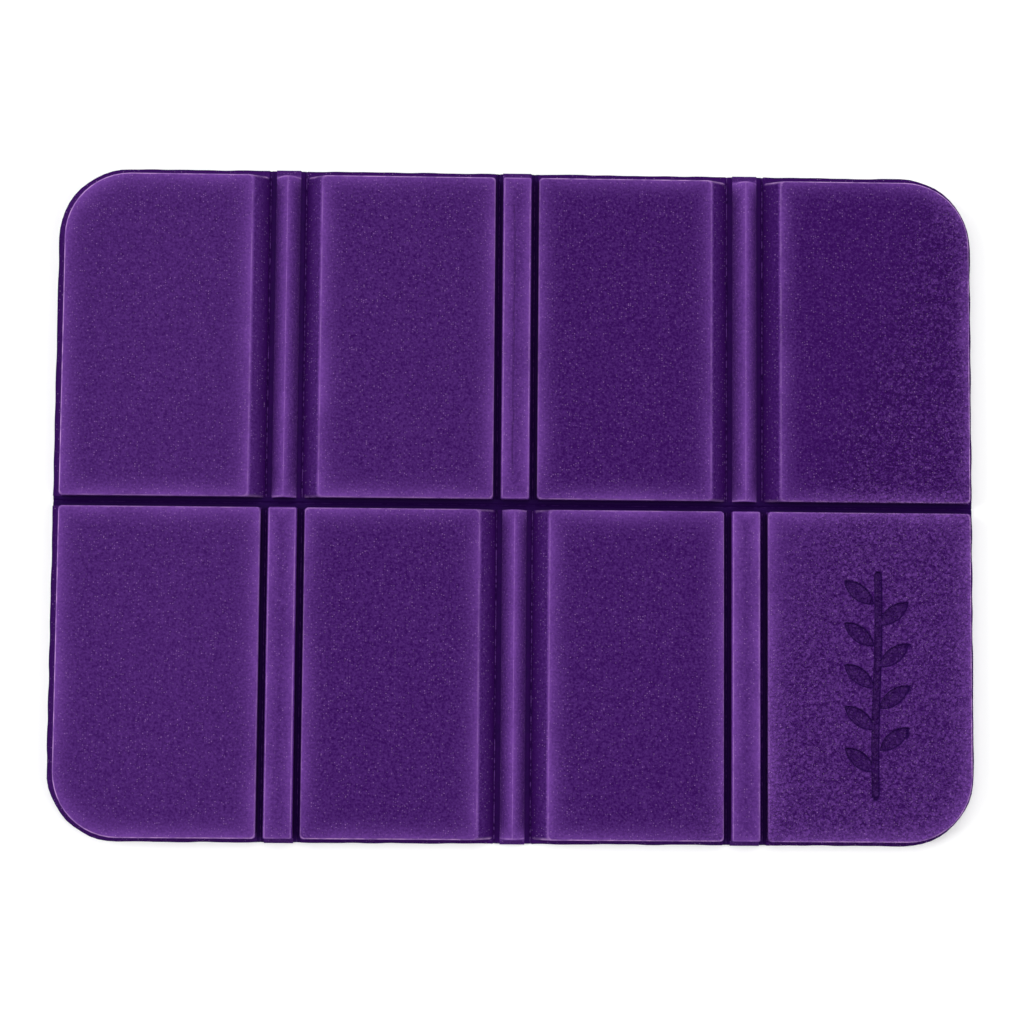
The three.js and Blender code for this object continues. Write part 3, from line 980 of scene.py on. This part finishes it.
def foam_skin(name, colours, line_strength, grain_height):
    """Pressed closed-cell polyethylene foam: a soft satin skin with fine pebble grain and scattered bright
    specks of painted glint, paler near an edge with stretched skin and painted sheen, a painted highlight
    along its top edge, lighter or darker for each piece by painted light, and darker down the walls by
    painted shade."""
    material, node, shader, place = start_material(name)
    past, paleness, coarse, handled, slope_end, pressed = [
        node("ShaderNodeAttribute", attribute_name=measure).outputs["Fac"]
        for measure in ("past_edge", "paleness", "wrinkled", "handled", "slope_end", "pressed")
    ]
    cloud = node(NOISE, {"Vector": place, "Scale": 1 / CLOUD_SIZE, "Detail": 3.0})
    streak = node(NOISE, {"Vector": place, "Scale": 1 / BREAK_SIZE, "Detail": 3.0})
    grain, wrinkle = add_pebble(node, shader, place, coarse, grain_height)
    cells = node("ShaderNodeTexVoronoi", {"Vector": place, "Scale": 1 / SPECK_SIZE, "Randomness": 1.0})

    # The paler band of stretched skin and painted sheen fades in from the edge as a power of what is left of
    # its reach
    inside = node(RANGE, {0: past, 1: -1.6, 2: 0.0}, interpolation_type="SMOOTHSTEP")
    left = node(RANGE, {0: past, 1: 0.0, 2: BAND_REACH, 3: 1.0, 4: 0.0})
    fading = node(MATH, {0: left, 1: BAND_POWER}, operation="POWER")
    band = node(MATH, {0: inside, 1: fading}, operation="MULTIPLY")
    patchy = node(RANGE, {0: cloud, 1: 0.3, 2: 0.7, 3: 0.55, 4: 1.2})
    pale = node(MATH, {0: band, 1: patchy}, operation="MULTIPLY")
    pale = node(MATH, {0: pale, 1: BAND_STRENGTH, 2: 0.02}, operation="MULTIPLY_ADD")
    # Each piece's painted light adds to the band
    pale = node(MATH, {0: paleness, 1: 0.3, 2: pale}, operation="MULTIPLY_ADD")
    # Painted highlights on the tops of the leathery wrinkles, and painted shade in the crevices between them
    worms = node(NOISE, {"Vector": place, "Scale": 1 / LEATHER_TOP_SIZE, "Detail": 1.0, "Distortion": 1.2})
    tops = node(RANGE, {0: worms, 1: 0.42, 2: 0.66, 3: -0.16, 4: 0.3})
    tops = node(MATH, {0: wrinkle, 1: 0.07, 2: tops}, operation="MULTIPLY_ADD")
    pale = node(MATH, {0: tops, 1: coarse, 2: pale}, operation="MULTIPLY_ADD")
    grit = node(RANGE, {0: grain, 1: 0.3, 2: 0.7, 3: -0.16, 4: 0.22})
    pale = node(MATH, {0: pale, 1: grit}, operation="ADD", use_clamp=True)
    # Painted shade down the walls: the paler colour fades out towards the foot of a wall, which keeps the
    # foam's darker colour
    down = node(RANGE, {0: past, 1: -8.5, 2: -1.5, 3: 1.0, 4: 0.0})
    up = node(MATH, {0: 1.0, 1: down}, operation="SUBTRACT")
    pale = node(MATH, {0: pale, 1: up}, operation="MULTIPLY")
    skin = node("ShaderNodeMix", {0: pale, 6: colours.foam, 7: colours.stretched_skin_and_sheen}, data_type="RGBA")

    # A thin painted highlight along the top edge, partly rubbed wear, broken up, and scattered bright specks
    # of painted glint
    off_line = node(MATH, {0: past}, operation="ABSOLUTE")
    line = node(RANGE, {0: off_line, 1: 0.1, 2: 0.5, 3: line_strength, 4: 0.0},
                interpolation_type="SMOOTHSTEP")
    broken = node(RANGE, {0: streak, 1: 0.38, 2: 0.6, 3: 0.25, 4: 1.0})
    edge_highlight = node(MATH, {0: line, 1: broken}, operation="MULTIPLY")
    edge_highlight = node(MATH, {0: edge_highlight, 1: handled}, operation="MULTIPLY")
    end_highlight = node(MATH, {0: slope_end, 1: broken}, operation="MULTIPLY")
    edge_highlight = node(MATH, {0: edge_highlight, 1: end_highlight}, operation="MAXIMUM")
    dot = node(RANGE, {0: cells.outputs["Distance"], 1: 0.12, 2: 0.32, 3: 0.34, 4: 0.0})
    chosen = node("ShaderNodeSeparateColor", {0: cells.outputs["Color"]})
    few = node(RANGE, {0: chosen, 1: 0.55, 2: 1.0})
    speck = node(MATH, {0: dot, 1: few}, operation="MULTIPLY")
    wear_and_highlight = node(MATH, {0: edge_highlight, 1: speck}, operation="MAXIMUM")
    highlit_skin = node("ShaderNodeMix", {0: wear_and_highlight, 6: skin.outputs[2], 7: colours.wear_and_highlight}, data_type="RGBA")
    # Painted shade in the pressed sprig: darker on its floor, and darkest on its walls, where it is half deep
    unpressed = node(MATH, {0: 1.0, 1: pressed}, operation="SUBTRACT")
    walls = node(MATH, {0: pressed, 1: unpressed}, operation="MULTIPLY")
    shade = node(MATH, {0: walls, 1: 3.0}, operation="MULTIPLY")
    shade = node(MATH, {0: pressed, 1: 0.5, 2: shade}, operation="MULTIPLY_ADD")
    wall = node("ShaderNodeMix", {0: shade, 6: highlit_skin.outputs[2], 7: colours.deep}, data_type="RGBA")
    rough = node(RANGE, {0: grain, 1: 0.3, 2: 0.7, 3: 0.56, 4: 0.72})
    return finish_skin(material, shader, wall.outputs[2], rough.outputs[0], 1.45, 0.04)


def hinge_skin(name, colours):
    """The same foam pressed to a dense thin web: darker, smoother, and crackled where it bends, with painted
    shade in the narrow slits and the crease.
    """
    material, node, shader, place = start_material(name)
    mottle = node(NOISE, {"Vector": place, "Scale": 1 / MOTTLE_SIZE, "Detail": 3.0})
    some = node(RANGE, {0: mottle, 1: 0.35, 2: 0.75, 3: 0.5, 4: 1.3})
    handled = node("ShaderNodeAttribute", attribute_name="handled").outputs["Fac"]
    # Painted shade: the web is painted darker where its weight of painted light is low, in a narrow slit and
    # most in the crease
    thick = node(MATH, {0: some, 1: handled}, operation="MULTIPLY")
    dense = node("ShaderNodeMix", {0: thick, 6: colours.deep, 7: colours.foam}, data_type="RGBA")
    # A pale crackled line shows where the web bends, stronger where the web takes more painted light
    off_fold = node("ShaderNodeAttribute", attribute_name="off_fold").outputs["Fac"]
    crackle = node(NOISE, {"Vector": place, "Scale": 1 / CRACKLE_SIZE, "Detail": 2.0})
    breaks = node(RANGE, {0: crackle, 1: 0.45, 2: 0.62, 3: 0.0, 4: 1.0})
    line = node(RANGE, {0: off_fold, 1: 0.12, 2: 0.32, 3: 1.0, 4: 0.0})
    broken = node(MATH, {0: line, 1: breaks}, operation="MULTIPLY")
    wear_and_highlight = node(MATH, {0: broken, 1: handled}, operation="MULTIPLY")
    web = node("ShaderNodeMix", {0: wear_and_highlight, 6: dense.outputs[2], 7: colours.stretched_skin_and_sheen}, data_type="RGBA")
    rough = node(RANGE, {0: mottle, 1: 0.3, 2: 0.7, 3: 0.42, 4: 0.6})
    add_pebble(node, shader, place, 0.0, 0.03 * MM)
    return finish_skin(material, shader, web.outputs[2], rough.outputs[0], 1.5, 0.03)


def floor_paper(colours):
    """Matt white studio paper with a faint tooth."""
    material, node, shader, place = start_material("Matt studio paper")
    tooth = node(NOISE, {"Vector": place, "Scale": 1 / PAPER_TOOTH, "Detail": 2.0})
    bump = node("ShaderNodeBump", {"Height": tooth, "Distance": 0.02 * MM, "Strength": 0.5})
    material.node_tree.links.new(bump.outputs[0], shader.inputs["Normal"])
    shader.inputs["Base Color"].default_value = colours.floor
    shader.inputs["Roughness"].default_value = 0.9
    return material


def foam_materials():
    """The foam's finishes, made once and shared by every piece."""
    colours = bpy.context.scene.foam_colours
    finishes = {
        "panel": ("Pressed foam skin", foam_skin, (0.6, 0.34 * MM)),
        "spine": ("Pressed foam skin on spines", foam_skin, (0.5, 0.22 * MM)),
        "hinge": ("Densely pressed foam web", hinge_skin, ()),
    }
    made = {}
    for key, (name, make, given) in finishes.items():
        made[key] = bpy.data.materials.get(name) or make(name, colours, *given)
    return made


# ---------------------------------------------------------------- studio

CAMERA_PLACE = Vector((-18.8, -59.4, 825.7)) * MM
CAMERA_LOOK = Vector((0.0214, 0.0683, -0.9974))
CAMERA_ROLL = math.radians(0.47)
CAMERA_LENS = 68.6
FLOOR_SIZE = 14.0
BACKDROP_RADIUS = 6.0
BACKDROP_COVE = 1.0
BACKDROP_HEIGHT = 1.7
BACKDROP_SIDES = 96
COVE_STEPS = 12

# Soft lights, each as wide as a large white box close by: the side it shines from in degrees round
# from +X, its height in degrees above the floor, how wide it looks, and its strength
LAMPS = {
    "left_box": (172, 22, 36, 2.05),
    "top_box": (120, 72, 70, 1.7),
    "back_box": (80, 28, 40, 0.7),
    "right_box": (-12, 21, 45, 1.9),
}
WORLD_STRENGTH = 0.17


def make_floor(paper):
    """A plain pale floor, level with what the pad lies on."""
    half = FLOOR_SIZE / 2
    corners = np.array([(-half, -half, 0), (half, -half, 0), (half, half, 0), (-half, half, 0)])
    floor = mesh_piece("floor", corners, np.array([[0, 1, 2, 3]]))
    floor.data.materials.append(paper)


def make_backdrop(paper):
    """The same paper curving up all round, well away. It lets the lights' rays through."""
    turns = np.linspace(0, math.pi / 2, COVE_STEPS + 1)[1:]
    radii = BACKDROP_RADIUS - BACKDROP_COVE * (1 - np.sin(turns))
    heights = BACKDROP_COVE * (1 - np.cos(turns))
    radii, heights = np.append(radii, BACKDROP_RADIUS), np.append(heights, BACKDROP_HEIGHT)
    sides = np.linspace(0, 2 * math.pi, BACKDROP_SIDES, endpoint=False)
    x, y = np.outer(radii, np.cos(sides)), np.outer(radii, np.sin(sides))
    points = np.stack([x, y, np.broadcast_to(heights[:, None], x.shape)], -1).reshape(-1, 3)
    rings = np.arange(len(points)).reshape(len(radii), BACKDROP_SIDES)
    onward = np.roll(rings, -1, axis=1)
    faces = np.stack([rings[:-1], rings[1:], onward[1:], onward[:-1]], -1).reshape(-1, 4)
    backdrop = mesh_piece("backdrop", points, faces)
    backdrop.data.materials.append(paper)
    backdrop.visible_shadow = False


def make_camera():
    lens = bpy.data.cameras.new("camera")
    lens.lens = CAMERA_LENS
    lens.sensor_width = 36
    camera = bpy.data.objects.new("camera", lens)
    bpy.context.scene.collection.objects.link(camera)
    camera.location = CAMERA_PLACE
    # The camera looks down, and the pad's far side is its upward side, so Y is up and not Z
    back = -CAMERA_LOOK.normalized()
    right = Vector((0, 1, 0)).cross(back).normalized()
    axes = Matrix((right, back.cross(right), back)).transposed()
    camera.rotation_euler = (axes @ Matrix.Rotation(CAMERA_ROLL, 3, "Z")).to_euler()
    bpy.context.scene.camera = camera


def make_lights():
    world = bpy.data.worlds.new("studio")
    bpy.context.scene.world = world
    world.use_nodes = True
    world.node_tree.nodes["Background"].inputs["Color"].default_value = (1, 1, 1, 1)
    world.node_tree.nodes["Background"].inputs["Strength"].default_value = WORLD_STRENGTH
    for name, (side, height, width, strength) in LAMPS.items():
        lamp = bpy.data.lights.new(name, "SUN")
        lamp.energy = strength
        lamp.angle = math.radians(width)
        holder = bpy.data.objects.new(name, lamp)
        bpy.context.scene.collection.objects.link(holder)
        side, height = math.radians(side), math.radians(height)
        level = math.cos(height)
        towards = Vector((math.cos(side) * level, math.sin(side) * level, math.sin(height)))
        holder.rotation_euler = towards.to_track_quat("Z", "Y").to_euler()


# ---------------------------------------------------------------- operators


class FOAMPAD_OT_panels(bpy.types.Operator):
    """Make the eight thick panels of pressed foam"""

    bl_idname = "foampad.panels"
    bl_label = "Foam panels"

    def execute(self, context):
        shape, materials = context.scene.foam_shape, foam_materials()
        for row in ROWS:
            for column, name in enumerate(COLUMNS):
                panel = make_panel(row, column, shape, materials)
                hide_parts(f"{row}_panel_{name}")
                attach(panel, f"{row}_{name}")
        return {"FINISHED"}


class FOAMPAD_OT_spines(bpy.types.Operator):
    """Make the flat and domed spines between the panels"""

    bl_idname = "foampad.spines"
    bl_label = "Spines"

    def execute(self, context):
        make_spines(context.scene.foam_shape, foam_materials())
        return {"FINISHED"}


class FOAMPAD_OT_cross_hinges(bpy.types.Operator):
    """Make the living hinges on both sides of each spine"""

    bl_idname = "foampad.cross_hinges"
    bl_label = "Cross fold hinges"

    def execute(self, context):
        for row in ROWS:
            make_cross_hinges(row, context.scene.foam_shape, foam_materials())
        return {"FINISHED"}


class FOAMPAD_OT_crease(bpy.types.Operator):
    """Make the living hinge of the crease between the two rows"""

    bl_idname = "foampad.crease"
    bl_label = "Crease between the rows"

    def execute(self, context):
        make_crease(context.scene.foam_shape, foam_materials())
        return {"FINISHED"}


class FOAMPAD_OT_studio(bpy.types.Operator):
    """Make the floor, the soft lights and the camera"""

    bl_idname = "foampad.studio"
    bl_label = "Studio"

    def execute(self, context):
        context.scene.view_settings.view_transform = "Standard"
        paper = floor_paper(context.scene.foam_colours)
        make_floor(paper)
        make_backdrop(paper)
        make_lights()
        make_camera()
        return {"FINISHED"}


class FOAMPAD_PT_sidebar(bpy.types.Panel):
    """The pad's pieces and settings"""

    bl_idname = "FOAMPAD_PT_sidebar"
    bl_label = "Folding foam pad"
    bl_space_type = "VIEW_3D"
    bl_region_type = "UI"
    bl_category = "Foam pad"

    def draw(self, context):
        for group in (context.scene.foam_shape, context.scene.foam_colours):
            box = self.layout.box()
            for name in group.bl_rna.properties.keys():
                if name not in ("rna_type", "name"):
                    box.prop(group, name)
        for operator in OPERATORS:
            self.layout.operator(operator.bl_idname)


GROUPS = (FoamShape, FoamColours)
OPERATORS = (
    FOAMPAD_OT_studio, FOAMPAD_OT_panels, FOAMPAD_OT_spines, FOAMPAD_OT_cross_hinges, FOAMPAD_OT_crease,
)


def register():
    for part in (*GROUPS, *OPERATORS, FOAMPAD_PT_sidebar):
        bpy.utils.register_class(part)
    bpy.types.Scene.foam_shape = PointerProperty(type=FoamShape)
    bpy.types.Scene.foam_colours = PointerProperty(type=FoamColours)


def unregister():
    del bpy.types.Scene.foam_colours
    del bpy.types.Scene.foam_shape
    for part in (FOAMPAD_PT_sidebar, *reversed(OPERATORS), *reversed(GROUPS)):
        bpy.utils.unregister_class(part)


def main():
    register()
    bpy.ops.foampad.studio()
    bpy.ops.foampad.panels()
    bpy.ops.foampad.spines()
    bpy.ops.foampad.cross_hinges()
    bpy.ops.foampad.crease()


if __name__ == "__main__":
    main()
